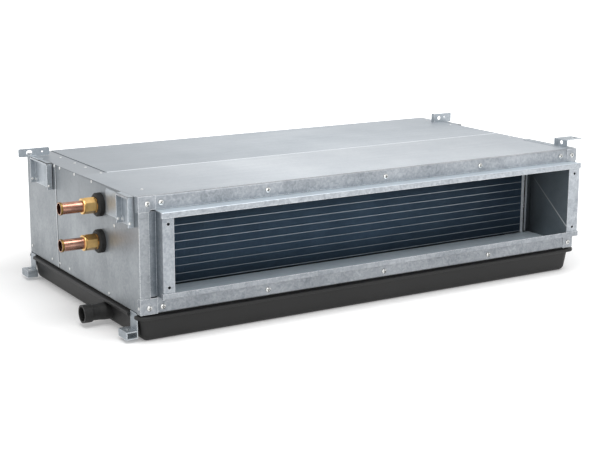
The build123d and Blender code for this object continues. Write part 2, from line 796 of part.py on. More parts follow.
# Front right: a strap on the cover carries an upright leg, bent outwards into a slotted arm
leg_face = right - front_right_inset
leg_start = front + front_right_start
leg_end = leg_start + front_right_width
leg_line = [(leg_face, top), (leg_face, top + front_right_height), (leg_face + front_right_reach, top + front_right_height)]
leg = folded(leg_line, "Y", leg_start, leg_end, -hanger_sheet)
leg_fold = rectangle((leg_face - front_right_return, top), (leg_face + hanger_sheet, top + front_right_height))
leg = leg + pull(leg_fold, "Y", leg_end - hanger_sheet, leg_end)
leg_middle = front + front_right_start + front_right_width / 2
leg_hole = disc((leg_middle, top + front_right_height / 2 + 2), rod_hole / 2)
leg = leg - pull(leg_hole, "X", leg_face - 1, leg_face + hanger_sheet + 1)
arm_slot = slot((leg_face + front_right_reach - 13, leg_middle), rod_slot_length + 6, rod_slot_width, 90)
leg = leg - pull(arm_slot, "Z", top + front_right_height - hanger_sheet - 1, top + front_right_height + 1)
strap_area = rectangle((leg_face - front_right_return, leg_start), (right + bracket_sheet, front + front_right_strap))
strap_area = fillet(strap_area.vertices().group_by(Axis.Y)[-1], 4)
strap = pull(strap_area, "Z", top, top + bracket_sheet)
add("front_right_bracket", channel(1, *front_channel) + leg + strap)

# Fan deck: partition with a mouth for each blower, flanged to the cover and the bottom panel
deck_face = front + deck_place
deck_line = [
    (deck_face + side_flange, base + 2 * sheet),
    (deck_face, base + 2 * sheet),
    (deck_face, top - 2 * sheet),
    (deck_face + side_flange, top - 2 * sheet),
]
deck = folded(deck_line, "X", left + side_flange + fit_gap, right - side_flange - fit_gap, -sheet)
wheel_axis = (front + wheel_place, base + wheel_height)
scroll_radius = wheel_radius + scroll_gap
mouth_low = wheel_axis[1] - scroll_radius - 3 * scroll_step
mouth_top = mouth_low + scroll_mouth
mouth_plane = deck_face + sheet
half_width = scroll_width / 2
for centre in (-blower_offset, blower_offset):
    mouth = rectangle((centre - half_width + scroll_wall, mouth_low), (centre + half_width - scroll_wall, mouth_top))
    deck = deck - pull(mouth, "Y", deck_face - 1, deck_face + sheet + 1)
add("fan_deck", deck)

# Bottom panel under the fans, carried by the side panels
panel_inset = sheet + bend_radius
panel_area = rectangle((left + panel_inset, fins_rear + fit_gap), (right - panel_inset, rear - sheet))
add("bottom_panel", pull(panel_area, "Z", base + sheet, base + 2 * sheet))


# Blowers: scroll housings of three arcs, each a step wider than the one before
def scroll(grow, mouth_end):
    """Section of a scroll across the wheel's axis, widened by grow"""
    y, z = wheel_axis
    first = scroll_radius + grow
    second = first + scroll_step
    third = second + scroll_step
    cut = (y - first, z)
    crown = (y, z + first)
    back = (y + second, z - scroll_step)
    keel = (y - scroll_step, z - scroll_step - third)
    mid = cos(radians(45))
    arcs = [
        ThreePointArc(cut, (y - first * mid, z + first * mid), crown),
        ThreePointArc(crown, (y + second * mid, z - scroll_step + second * mid), back),
        ThreePointArc(back, (y - scroll_step + third * mid, z - scroll_step - third * mid), keel),
        Line(keel, (mouth_end, keel[1])),
        Line((mouth_end, keel[1]), (mouth_end, mouth_top + grow)),
        Line((mouth_end, mouth_top + grow), (cut[0], mouth_top + grow)),
        Line((cut[0], mouth_top + grow), cut),
    ]
    return make_face(Curve() + arcs)




def blower_housing(centre):
    """Scroll casing with a round inlet in each side and a flanged mouth"""
    low = centre - half_width
    high = centre + half_width
    shell = pull(scroll(scroll_wall, mouth_plane), "X", low, high)
    shell = shell - pull(scroll(0, mouth_plane - 1), "X", low + scroll_wall, high - scroll_wall)
    flange = rectangle((low - mouth_flange, mouth_low - scroll_wall), (high + mouth_flange, mouth_top + mouth_flange))
    flange = flange - rectangle((low, mouth_low - scroll_wall), (high, mouth_top + scroll_wall))
    shell = shell + pull(flange, "Y", mouth_plane, mouth_plane + scroll_wall)
    lip = disc(wheel_axis, inlet_radius + inlet_lip) - disc(wheel_axis, inlet_radius)
    for face in (low - inlet_lip, high):
        shell = shell + pull(disc(wheel_axis, inlet_radius + 2), "X", face, face + inlet_lip)
    return shell - pull(disc(wheel_axis, inlet_radius), "X", low - 10, high + 10)


def blower_wheel(centre):
    """Forward-curved wheel: blades between two rings and a middle disc with a hub"""
    low = centre - wheel_width / 2
    high = centre + wheel_width / 2
    inner = wheel_radius - blade_depth
    blade = bent_outline([(inner, -2.0), (inner + blade_depth * 0.55, 1.0), (wheel_radius - 0.4, 7.5)], blade_sheet, 0)
    blades = Sketch() + [Rot(0, 0, n * 360 / blade_count) * blade for n in range(blade_count)]
    ring = Circle(wheel_radius) - Circle(inner)
    wheel = pull(Pos(*wheel_axis) * blades, "X", low, high)
    for face in (low, high - wheel_ring):
        wheel = wheel + pull(Pos(*wheel_axis) * ring, "X", face, face + wheel_ring)
    wheel = wheel + pull(disc(wheel_axis, wheel_radius), "X", centre - 1, centre + 1)
    wheel = wheel + pull(disc(wheel_axis, hub_radius), "X", centre - hub_length / 2, centre + hub_length / 2)
    return wheel - pull(disc(wheel_axis, shaft_radius), "X", low, high)


for name, centre in (("left", -blower_offset), ("right", blower_offset)):
    add(name + "_blower_housing", blower_housing(centre))
    add(name + "_blower_wheel", blower_wheel(centre))

# Motor between the blowers, with one shaft through both wheels
motor_end = motor_length / 2
bell_end = motor_end + motor_bell
shaft_end = blower_offset + wheel_width / 2 + shaft_overhang
add("fan_shaft", pull(disc(wheel_axis, shaft_radius), "X", -shaft_end, shaft_end))
motor = pull(disc(wheel_axis, motor_radius), "X", -motor_end, motor_end)
for side in (-1, 1):
    bell = pull(disc(wheel_axis, motor_radius * 0.55), "X", min(side * motor_end, side * bell_end),
                max(side * motor_end, side * bell_end))
    motor = motor + bell
for side in (-1, 1):
    pocket_start = side * (bell_end - bearing_length)
    pocket = pull(disc(wheel_axis, bearing_radius), "X", min(pocket_start, side * bell_end),
                  max(pocket_start, side * bell_end))
    motor = motor - pocket
motor = motor - pull(disc(wheel_axis, shaft_radius + 1), "X", -bell_end, bell_end)
add("motor_body", motor)
bearing_plan = disc(wheel_axis, bearing_radius) - disc(wheel_axis, shaft_radius + bearing_gap)
left_bearing = pull(bearing_plan, "X", -bell_end, -bell_end + bearing_length)
right_bearing = pull(bearing_plan, "X", bell_end - bearing_length, bell_end)
add("motor_bearings", left_bearing, right_bearing)

# Cradle: two legs on the bottom panel, cut out to hold the motor, tied by a plate
cradle_low = base + 2 * sheet
saddle_half = motor_radius + 18
leg_plan = rectangle((wheel_axis[0] - saddle_half, cradle_low), (wheel_axis[0] + saddle_half, wheel_axis[1]))
leg_plan = leg_plan - disc(wheel_axis, motor_radius)
cradle = pull(leg_plan, "X", -cradle_width / 2, -cradle_width / 2 + bracket_sheet)
cradle = cradle + pull(leg_plan, "X", cradle_width / 2 - bracket_sheet, cradle_width / 2)
tie = rectangle((-cradle_width / 2, wheel_axis[0] - saddle_half), (cradle_width / 2, wheel_axis[0] + saddle_half))
cradle = cradle + pull(tie, "Z", cradle_low, cradle_low + bracket_sheet)
add("motor_cradle", cradle)

# Air return: frame round the rear opening
return_left = left + return_side
return_right = right - return_side
frame_face = rectangle((left, base), (right, top - sheet))
frame_face = frame_face - rectangle((return_left, base + return_low), (return_right, top - return_high))
add("rear_frame", pull(frame_face, "Y", rear - sheet, rear))

# Filter rails: channels on the rear frame that the filter slides in
slide_gap = fit_gap
rail_inner = rear + sheet
rail_outer = rail_inner + filter_thickness + 2 * slide_gap
filter_foot = base + filter_low
filter_head = top - filter_high
low_rail_line = [
    (rear, filter_foot - slide_gap + rail_depth),
    (rear, filter_foot - slide_gap - sheet),
    (rail_outer + sheet, filter_foot - slide_gap - sheet),
    (rail_outer + sheet, filter_foot - slide_gap + rail_depth),
]
high_rail_line = [
    (rear, filter_head + slide_gap - rail_depth),
    (rear, filter_head + slide_gap + sheet),
    (rail_outer + sheet, filter_head + slide_gap + sheet),
    (rail_outer + sheet, filter_head + slide_gap - rail_depth),
]
rail_start = left + rail_side
rail_end = right - rail_side
low_rail = folded(low_rail_line, "X", rail_start, rail_end, sheet)
high_rail = folded(high_rail_line, "X", rail_start, rail_end, -sheet)
stop = rectangle((rear, filter_foot - slide_gap - sheet), (rail_outer + sheet, filter_foot - slide_gap + rail_depth))
low_rail = low_rail + pull(stop, "X", rail_start, rail_start + sheet)
add("filter_rails", low_rail, high_rail)

# Filter: aluminium frame with a mesh held in its middle, and a tab to pull it by
filter_near = rail_inner + slide_gap
filter_far = filter_near + filter_thickness
filter_start = rail_start + sheet + slide_gap
filter_plan = rectangle((filter_start, filter_foot), (rail_end, filter_head))
filter_hole = rectangle((filter_start + filter_edge, filter_foot + filter_edge),
                        (rail_end - filter_edge, filter_head - filter_edge))
mesh_near = (filter_near + filter_far - mesh_thickness) / 2
mesh_far = mesh_near + mesh_thickness
mesh_seat = 6.0
mesh_plan = rectangle((filter_start + filter_edge - mesh_seat, filter_foot + filter_edge - mesh_seat),
                      (rail_end - filter_edge + mesh_seat, filter_head - filter_edge + mesh_seat))
filter_body = pull(filter_plan - filter_hole, "Y", filter_near, filter_far) - pull(mesh_plan, "Y", mesh_near, mesh_far)
filter_middle = (filter_foot + filter_head) / 2
tab = rectangle((rail_end, filter_middle - pull_length / 2), (rail_end + pull_length / 2, filter_middle + pull_length / 2))
tab = fillet(tab.vertices().group_by(Axis.X)[-1], 5)
add("filter_frame", filter_body + pull(tab, "Y", filter_near + 4, filter_near + 4 + sheet))
add("filter_mesh", pull(mesh_plan, "Y", mesh_near, mesh_far))

# Electrical box on the right side, with lid, terminal block and cable gland
box_end = front + box_start + box_length
box_front = front + box_start
box_base = base + box_low
box_top = box_base + box_height
box_face = right + box_reach
box_plan = rectangle((box_front, box_base), (box_end, box_top))
box = pull(box_plan, "X", right, box_face)
box_inside = rectangle((box_front + sheet, box_base + sheet), (box_end - sheet, box_top - sheet))
box = box - pull(box_inside, "X", right + sheet, box_face + 1)
box = box - pull(cable_hole, "X", right - 1, right + sheet + 1)
gland_axis = (right + box_reach / 2, box_end - 60)
box = box - pull(disc(gland_axis, gland_radius * 0.8), "Z", box_base - 1, box_base + sheet + 1)
add("electrical_box", box)
lid_out = rectangle((box_front - sheet, box_base - sheet), (box_end + sheet, box_top + sheet))
lid = pull(lid_out, "X", box_face - lid_lip, box_face + sheet)
add("electrical_lid", lid - pull(box_plan, "X", box_face - lid_lip - 1, box_face))
gland = pull(disc(gland_axis, gland_radius * 0.8), "Z", box_base - 1, box_base + 4 * sheet)
gland_hex = Pos(*gland_axis) * RegularPolygon(gland_radius, 6)
gland = gland + pull(gland_hex, "Z", box_base - gland_length / 2, box_base)
gland = gland + pull(disc(gland_axis, gland_radius * 0.85), "Z", box_base - gland_length, box_base - gland_length / 2)
gland = gland - pull(disc(gland_axis, gland_bore), "Z", box_base - gland_length - 1, box_base + 20)
add("cable_gland", gland)
terminal_length = terminal_count * terminal_pitch
terminal_start = box_middle - terminal_length / 2
terminal_low = (box_base + box_top - terminal_height) / 2
terminal_face = right + sheet
terminals = pull(rectangle((terminal_start, terminal_low), (terminal_start + terminal_length,
                 terminal_low + terminal_height)), "X", terminal_face, terminal_face + terminal_depth)
for n in range(terminal_count):
    middle = terminal_start + (n + 0.5) * terminal_pitch
    cell = rectangle((middle - terminal_pitch / 2 + 1, terminal_low - 1),
                     (middle + terminal_pitch / 2 - 1, terminal_low + terminal_height / 3))
    terminals = terminals - pull(cell, "X", terminal_face + terminal_depth / 2, terminal_face + terminal_depth + 1)
add("terminal_block", terminals)


# Screw and rivet heads
def head(axis, face, centre, radius, height):
    """Round head that stands on a face. A negative height points down the axis."""
    return pull(disc(centre, radius), axis, min(face, face + height), max(face, face + height))


upper_line = top - rail_screw_inset
lower_line = base + rail_screw_inset
between = [left + rail_screw_start + n * rail_screw_pitch for n in range(rail_screw_count)]
upper_places = [left + rail_screw_left, *between, left + upper_last_screw, right - rail_screw_left]
lower_places = [left + rail_screw_left, *between, left + lower_last_screw]
front_heads = [head("Y", front, (x, upper_line), screw_radius, -screw_head) for x in upper_places]
front_heads += [head("Y", front, (x, lower_line), screw_radius, -screw_head) for x in lower_places]
for x in (left + corner_left / 2, right - corner_right / 2):
    front_heads.append(head("Y", corner_face, (x, upper_line), screw_radius, -screw_head))
    front_heads.append(head("Y", corner_face, (x, lower_line), screw_radius, -screw_head))
add("front_screws", *front_heads)
seam_line = front + panel_seam
high_line = top - 5
low_screw_line = base + 13
wall_places = [
    (seam_line + 7, high_line),
    (seam_line - 26, high_line),
    (front + 329, high_line),
    (front + 234, high_line),
    (front + 120, base + 162),
    (rear - 12, base + 18),
    (seam_line + 40, low_screw_line),
    (seam_line - 7, low_screw_line),
    (front + 375, low_screw_line),
    (front + 157, base + 9),
]
side_heads = []
for y, z in wall_places:
    side_heads.append(head("X", left, (y, z), rivet_radius, -rivet_head))
    side_heads.append(head("X", right, (y, z), rivet_radius, rivet_head))
side_heads.append(head("X", left - sheet, (front + 6, low_screw_line), rivet_radius, -rivet_head))
for y in (front + 520, front + 434, front + 373):
    side_heads.append(head("Z", top - sheet, (left + 44, y), rivet_radius, rivet_head))
for y in (front + 287, front + 78):
    side_heads.append(head("Z", top, (left + 44, y), rivet_radius, rivet_head))
for y in (front + 465, front + 570, front + 220):
    side_heads.append(head("Z", top, (right - 20, y), rivet_radius, rivet_head))
lid_face = box_face + sheet
for y in (box_front + 15, box_end - 15):
    side_heads.append(head("X", lid_face, (y, box_top - 15), screw_radius, screw_head))
    side_heads.append(head("X", lid_face, (y, box_base + 15), screw_radius, screw_head))
add("side_screws", *side_heads)
rivets = []
for wall, out in ((left, -1), (right, 1)):
    for start, end, drop in (rear_channel, front_channel):
        for y in (start + 12, end - 12):
            rivets.append(head("X", wall + out * bracket_sheet, (y, top - drop + 9), rivet_radius, out * rivet_head))
add("bracket_rivets", *rivets)

os.makedirs("parts", exist_ok=True)
for name, shape in nodes.items():
    export_step(shape, f"parts/{name}.step")
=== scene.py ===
import math

import bmesh
import bpy
from mathutils import Matrix, Quaternion, Vector


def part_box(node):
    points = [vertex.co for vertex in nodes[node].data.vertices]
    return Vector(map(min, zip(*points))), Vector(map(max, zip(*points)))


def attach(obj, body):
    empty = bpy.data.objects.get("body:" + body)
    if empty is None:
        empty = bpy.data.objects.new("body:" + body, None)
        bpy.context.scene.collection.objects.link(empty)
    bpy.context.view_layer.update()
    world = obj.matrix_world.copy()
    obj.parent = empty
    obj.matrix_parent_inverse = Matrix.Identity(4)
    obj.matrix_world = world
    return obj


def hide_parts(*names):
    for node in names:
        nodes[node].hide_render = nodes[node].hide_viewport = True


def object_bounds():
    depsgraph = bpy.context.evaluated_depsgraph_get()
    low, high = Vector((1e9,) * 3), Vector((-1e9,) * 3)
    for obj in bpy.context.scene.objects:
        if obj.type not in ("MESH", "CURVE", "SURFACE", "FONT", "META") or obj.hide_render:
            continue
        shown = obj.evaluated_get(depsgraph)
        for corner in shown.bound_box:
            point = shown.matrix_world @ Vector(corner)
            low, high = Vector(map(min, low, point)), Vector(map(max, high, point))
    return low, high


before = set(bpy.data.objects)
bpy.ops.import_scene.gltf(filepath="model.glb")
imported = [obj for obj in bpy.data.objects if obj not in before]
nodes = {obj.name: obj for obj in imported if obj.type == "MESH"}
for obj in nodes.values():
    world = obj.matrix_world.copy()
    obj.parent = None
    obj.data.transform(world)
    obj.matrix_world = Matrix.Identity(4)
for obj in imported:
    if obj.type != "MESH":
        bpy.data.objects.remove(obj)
cad_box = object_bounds()

# Studio. A white sweep, a wide softbox above, a weaker one in front and a faint one at the left, with even
# light all round. The camera stands where the photograph was taken from: left of the outlet and a little
# above the unit.
camera = bpy.data.objects.new("camera", bpy.data.cameras.new("camera"))
bpy.context.scene.collection.objects.link(camera)
bpy.context.scene.camera = camera
camera.data.sensor_width = 36.0
camera.data.lens = 79.53
camera.data.clip_end = 200.0
camera.location = (-1.6352, -2.6439, 0.8256)
camera.rotation_mode = "QUATERNION"
heading = math.radians(31.54)
dip = math.radians(12.80)
roll = math.radians(0.19)
aim = Vector((math.sin(heading) * math.cos(dip), math.cos(heading) * math.cos(dip), -math.sin(dip)))
camera.rotation_quaternion = aim.to_track_quat("-Z", "Y") @ Quaternion((0, 0, 1), roll)


def softbox(name, place, target, width, height, power):
    """Rectangular area light that points at a target"""
    lamp = bpy.data.objects.new(name, bpy.data.lights.new(name, "AREA"))
    lamp.data.shape = "RECTANGLE"
    lamp.data.size = width
    lamp.data.size_y = height
    lamp.data.energy = power
    lamp.location = place
    direction = Vector(target) - Vector(place)
    lamp.rotation_euler = direction.to_track_quat("-Z", "Y").to_euler()
    bpy.context.scene.collection.objects.link(lamp)


softbox("softbox_above", (-0.1, -1.1, 2.5), (0, -0.1, 0.2), 2.6, 1.6, 54.0)
softbox("softbox_front", (-1.0, -3.4, 1.5), (0, 0, 0.15), 2.4, 1.4, 20.0)
softbox("softbox_left", (-3.6, -0.6, 1.4), (0, 0, 0.15), 1.8, 1.4, 1.5)


def colour(code):
    """Linear colour of an sRGB hex code"""
    parts = [int(code[n : n + 2], 16) / 255 for n in (1, 3, 5)]
    return [p / 12.92 if p <= 0.04045 else ((p + 0.055) / 1.055) ** 2.4 for p in parts] + [1.0]


def node(tree, kind, links=None, **settings):
    """Adds one node. Each link is an input's name or number with a value, or with another node's output."""
    made = tree.nodes.new(kind)
    for name, value in settings.items():
        setattr(made, name, value)
    for name, value in (links or {}).items():
        if isinstance(value, bpy.types.NodeSocket):
            tree.links.new(value, made.inputs[name])
        else:
            made.inputs[name].default_value = value
    return made


def new_material(name):
    """New node material, with its tree and its shader"""
    material = bpy.data.materials.new(name)
    material.use_nodes = True
    return material, material.node_tree, material.node_tree.nodes["Principled BSDF"]


def new_piece(name, bm, material):
    """Object of a finished mesh, with its finish"""
    mesh = bpy.data.meshes.new(name)
    bm.to_mesh(mesh)
    bm.free()
    mesh.materials.append(material)
    piece = bpy.data.objects.new(name, mesh)
    bpy.context.scene.collection.objects.link(piece)
    return piece


def seen_directly(tree):
    """1 for camera, glossy and transmission rays, so that what they see of the studio is white"""
    rays = node(tree, "ShaderNodeLightPath").outputs
    seen = {0: rays["Is Camera Ray"], 1: rays["Is Glossy Ray"]}
    seen = node(tree, "ShaderNodeMath", seen, operation="MAXIMUM")
    seen = {0: seen.outputs[0], 1: rays["Is Transmission Ray"]}
    return node(tree, "ShaderNodeMath", seen, operation="MAXIMUM").outputs[0]


even_light = 0.6
world = bpy.data.worlds.new("studio")
bpy.context.scene.world = world
world.use_nodes = True
tree = world.node_tree
sky = tree.nodes["Background"]
sky.inputs["Color"].default_value = (1.0, 1.0, 1.0, 1.0)
lift = node(tree, "ShaderNodeMapRange", {"Value": seen_directly(tree), "To Min": even_light, "To Max": 1.0})
tree.links.new(lift.outputs[0], sky.inputs["Strength"])
bpy.context.scene.view_settings.view_transform = "Standard"

shadow_pool = 0.75
white_from = 1.7
paper, tree, shader = new_material("white_paper_sweep")
shader.inputs["Base Color"].default_value = colour("#f0f0f0")
shader.inputs["Roughness"].default_value = 0.9
place = node(tree, "ShaderNodeTexCoord").outputs["Object"]
away = node(tree, "ShaderNodeVectorMath", {0: place}, operation="LENGTH").outputs["Value"]
reach = {"Value": away, "From Min": shadow_pool, "From Max": white_from, "To Min": 0.2, "To Max": 1.0}
fade = node(tree, "ShaderNodeMapRange", reach)
lift = node(tree, "ShaderNodeMath", {0: seen_directly(tree), 1: fade.outputs[0]}, operation="MULTIPLY")
glow = node(tree, "ShaderNodeEmission", {"Strength": lift.outputs[0]})
both = node(tree, "ShaderNodeAddShader", {0: shader.outputs[0], 1: glow.outputs[0]})
tree.links.new(both.outputs[0], tree.nodes["Material Output"].inputs["Surface"])
bm = bmesh.new()
bmesh.ops.create_grid(bm, x_segments=1, y_segments=1, size=60.0)
floor = new_piece("floor", bm, paper)


# Casing sheets. Hot-dip galvanised steel, cut, folded and screwed together. The zinc froze in pale and dark
# spangles about 9 mm wide, rolled almost flat, with faint rolling marks along each sheet, drawn 14 mm apart
# so that they show. Folds and cut edges get a painted highlight.
def roughen(tree, height, strength, depth):
    """Fine relief on a finish"""
    relief = node(tree, "ShaderNodeBump", {"Height": height, "Strength": strength, "Distance": depth})
    tree.links.new(relief.outputs[0], tree.nodes["Principled BSDF"].inputs["Normal"])


def galvanised(name, pale, dark, marks, spangle, patch, streak=0.6, edge="#e9edf0", rough=0.4):
    """
    Zinc coat. marks is how often the rolling marks repeat per metre along X, Y and Z.
    spangle, patch and streak are how much the crystals, soft clouds and rolling marks show.
    edge is the colour of the painted highlight on folds and cut edges.
    """
    crystals_per_metre = 110.0
    patches_per_metre = 9.0
    half_span = 0.45
    fold_radius = 0.0016
    flat, folded = 0.99, 0.8
    material, tree, shader = new_material(name)
    place = node(tree, "ShaderNodeTexCoord").outputs["Object"]
    clouds = {"Vector": place, "Scale": patches_per_metre, "Detail": 3.0, "Roughness": 0.5}
    clouds = node(tree, "ShaderNodeTexNoise", clouds)
    crystals = {"Vector": place, "Scale": crystals_per_metre, "Detail": 3.0, "Distortion": 1.2}
    crystals = node(tree, "ShaderNodeTexNoise", crystals)
    stretch = node(tree, "ShaderNodeMapping", {"Vector": place, "Scale": marks})
    rolled = {"Vector": stretch.outputs[0], "Scale": 1.0, "Detail": 4.0, "Roughness": 0.6}
    rolled = node(tree, "ShaderNodeTexNoise", rolled)
    cloudy = node(tree, "ShaderNodeMath", {0: clouds.outputs[0], 1: patch}, operation="MULTIPLY")
    flecked = {0: crystals.outputs[0], 1: spangle, 2: cloudy.outputs[0]}
    flecked = node(tree, "ShaderNodeMath", flecked, operation="MULTIPLY_ADD")
    tone = {0: rolled.outputs[0], 1: streak, 2: flecked.outputs[0]}
    tone = node(tree, "ShaderNodeMath", tone, operation="MULTIPLY_ADD")
    middle = 0.5 * (patch + spangle + streak)
    span = {"Value": tone.outputs[0], "From Min": middle - half_span, "From Max": middle + half_span}
    share = node(tree, "ShaderNodeMapRange", span).outputs[0]
    skin = node(tree, "ShaderNodeMix", {0: share, 6: colour(dark), 7: colour(pale)}, data_type="RGBA")
    # Painted highlight: faces that the Bevel node finds rounding over a fold or cut edge are painted the edge
    # colour.
    rounded = node(tree, "ShaderNodeBevel", {"Radius": fold_radius}, samples=4)
    facing = node(tree, "ShaderNodeNewGeometry").outputs["True Normal"]
    turn = node(tree, "ShaderNodeVectorMath", {0: rounded.outputs[0], 1: facing}, operation="DOT_PRODUCT")
    edge_highlight = {"Value": turn.outputs["Value"], "From Min": flat, "From Max": folded}
    edge_highlight = node(tree, "ShaderNodeMapRange", edge_highlight)
    painted_highlight = {0: edge_highlight.outputs[0], 6: skin.outputs[2], 7: colour(edge)}
    painted_highlight = node(tree, "ShaderNodeMix", painted_highlight, data_type="RGBA")
    tree.links.new(painted_highlight.outputs[2], shader.inputs["Base Color"])
    gloss = node(tree, "ShaderNodeMapRange", {**span, "To Min": rough + 0.06, "To Max": rough - 0.04})
    tree.links.new(gloss.outputs[0], shader.inputs["Roughness"])
    shader.inputs["Metallic"].default_value = 0.6
    roughen(tree, tone.outputs[0], 0.05, 0.0004)
    return material


def lay_over(material, value, code, start=0.0, end=1.0, share=1.0):
    """Lays one more colour over a finish, from none where value is start to share where it is end"""
    tree = material.node_tree
    skin = tree.nodes["Principled BSDF"].inputs["Base Color"]
    under = skin.links[0].from_socket
    cover = {"Value": value, "From Min": start, "From Max": end, "To Max": share}
    cover = node(tree, "ShaderNodeMapRange", cover).outputs[0]
    over = node(tree, "ShaderNodeMix", {0: cover, 6: under, 7: colour(code)}, data_type="RGBA")
    tree.links.new(over.outputs[2], skin)


def place_along(material, axis):
    """Place on the part along one axis, in metres"""
    tree = material.node_tree
    place = node(tree, "ShaderNodeTexCoord").outputs["Object"]
    return node(tree, "ShaderNodeSeparateXYZ", {0: place}).outputs[axis]


def facing_up(material):
    """1 on level faces that lie open to the light"""
    tree = material.node_tree
    facing = node(tree, "ShaderNodeNewGeometry").outputs["True Normal"]
    return node(tree, "ShaderNodeSeparateXYZ", {0: facing}).outputs["Z"]


def coat(material, *names):
    """Gives CAD pieces a finish"""
    for name in names:
        mesh = nodes[name].data
        mesh.materials.clear()
        mesh.materials.append(material)


# Painted shade: each cover greys towards the right end, and more so towards the pipes at the left.
along_sheet = (3.0, 70.0, 70.0)
cover_zinc = galvanised("galvanised_cover_sheet", "#cbd0d4", "#afb5bc", along_sheet, 0.5, 0.9, 0.5, rough=0.5)
rear_zinc = galvanised("galvanised_rear_cover", "#c5cbd1", "#a8b0b7", along_sheet, 0.5, 1.0, 0.5, rough=0.5)
for zinc, left_shade_from, left_shade_to in ((cover_zinc, -0.2, -0.56), (rear_zinc, 0.08, -0.45)):
    lay_over(zinc, place_along(zinc, "X"), "#93999f", -0.2, 0.57, 0.5)
    lay_over(zinc, place_along(zinc, "X"), "#8a9096", left_shade_from, left_shade_to, 0.8)
    zinc.node_tree.nodes["Principled BSDF"].inputs["Metallic"].default_value = 0.3
wall_zinc = galvanised("galvanised_wall_sheet", "#a2a7ab", "#767c81", (26.0, 26.0, 9.0), 0.7, 1.2, 0.5)
# Painted shade: the wall sheets darken towards their top edge, and their upward faces are painted darker.
lay_over(wall_zinc, place_along(wall_zinc, "Z"), "#6a7075", 0.15, 0.3, 0.8)
lay_over(wall_zinc, facing_up(wall_zinc), "#92989e", 0.5, 0.9, 0.95)
coat(cover_zinc, "front_top_cover")
coat(rear_zinc, "rear_top_cover")
coat(wall_zinc, "left_front_panel", "left_rear_panel", "right_front_panel", "right_rear_panel")
coat(wall_zinc, "bottom_panel", "fan_deck")

# Frame. Narrow folded strips of the same steel round the outlet and the return-air side, where the spangle
# shows most. The corner plates are screwed over the ends of rails and posts.
across_strip = (25.0, 60.0, 25.0)
frame_zinc = galvanised("galvanised_frame_strip", "#a7abb0", "#777d83", across_strip, 1.3, 0.9)
# Painted shade: the posts take a slightly darker copy of the strip finish.
shaded_post_zinc = galvanised("galvanised_post", "#a1a5a9", "#747a7f", (25.0, 25.0, 12.0), 1.0, 1.2)
coat(frame_zinc, "top_rail", "bottom_rail", "corner_plates", "rear_frame", "filter_rails")
coat(shaded_post_zinc, "left_post", "right_post")

# Duct collar. Four folded pieces that the duct is screwed to. The upright ones get painted shade in the
# channel beside the posts and towards the left. The top one gets a painted pale blue highlight on its upward
# faces.
upright_zinc = galvanised("galvanised_collar_upright", "#b8bdc2", "#848a91", across_strip, 1.3, 0.9)
painted_shade_reach = 0.035
# Painted shade: ambient occlusion darkens the uprights in the channel beside the posts, and they darken a
# little towards the left.
corner = node(upright_zinc.node_tree, "ShaderNodeAmbientOcclusion", {"Distance": painted_shade_reach}, samples=8)
lay_over(upright_zinc, corner.outputs["AO"], "#47545e", 0.95, 0.45, 0.85)
lay_over(upright_zinc, place_along(upright_zinc, "X"), "#39424a", 0.1, -0.5, 0.16)
highlit_top_zinc = galvanised("galvanised_collar_top", "#b8bdc2", "#848a91", across_strip, 1.3, 0.9)
# Painted highlight: upward faces of the top piece are painted pale blue.
lay_over(highlit_top_zinc, facing_up(highlit_top_zinc), "#d3dee6", 0.5, 0.9, 0.85)
coat(upright_zinc, "collar_left", "collar_right")
coat(highlit_top_zinc, "collar_top")
coat(frame_zinc, "collar_bottom")

# Air path between collar and coil: side guides and a floor plate, in thinner zinc-coated sheet; the guides
# are coloured darker than the casing. Each guide is folded along one diagonal, from the low corner of the
# outlet up to the coil, and a painted highlight runs along the fold, strongest where it begins.
along_guide = (60.0, 12.0, 12.0)
inner_zinc = galvanised("galvanised_inner_sheet", "#889299", "#636c72", along_guide, 0.3, 0.9,
                        edge="#c9ced2", rough=0.48)
# Painted highlight: a bright line along the fold, fading out towards the coil.
fold_start = Vector((0.0, -0.3391, 0.1203))
fold_end = Vector((0.0, -0.1925, 0.2398))
fold_run = (fold_end - fold_start).normalized()
fold_side = Vector((0.0, -fold_run.z, fold_run.y))
bright_half = 0.0006
fold_half = 0.0017
tree = inner_zinc.node_tree
place = node(tree, "ShaderNodeTexCoord").outputs["Object"]
along = node(tree, "ShaderNodeVectorMath", {0: place, 1: fold_run}, operation="DOT_PRODUCT")
across = node(tree, "ShaderNodeVectorMath", {0: place, 1: fold_side}, operation="DOT_PRODUCT")
apart = {0: across.outputs["Value"], 1: fold_side.dot(fold_start)}
apart = node(tree, "ShaderNodeMath", apart, operation="SUBTRACT")
apart = node(tree, "ShaderNodeMath", {0: apart.outputs[0]}, operation="ABSOLUTE")
line = {"Value": apart.outputs[0], "From Min": fold_half, "From Max": bright_half}
line = node(tree, "ShaderNodeMapRange", line)
fading = {"Value": along.outputs["Value"], "From Min": fold_run.dot(fold_start),
          "From Max": fold_run.dot(fold_end), "To Min": 0.95, "To Max": -0.15}
fading = node(tree, "ShaderNodeMapRange", fading)
painted_highlight = node(tree, "ShaderNodeMath", {0: line.outputs[0], 1: fading.outputs[0]}, operation="MULTIPLY")
# Painted shade: the guides darken towards the coil, deep inside the unit.
lay_over(inner_zinc, place_along(inner_zinc, "Y"), "#3a4045", -0.27, -0.215, 0.95)
lay_over(inner_zinc, painted_highlight.outputs[0], "#f2f5f7")
floor_zinc = galvanised("galvanised_floor_sheet", "#e9f4fb", "#c4d3dd", (8.0, 90.0, 90.0), 0.3, 0.8)
floor_zinc.node_tree.nodes["Principled BSDF"].inputs["Metallic"].default_value = 0.25
coat(inner_zinc, "left_air_guide", "right_air_guide")
coat(floor_zinc, "coil_floor")

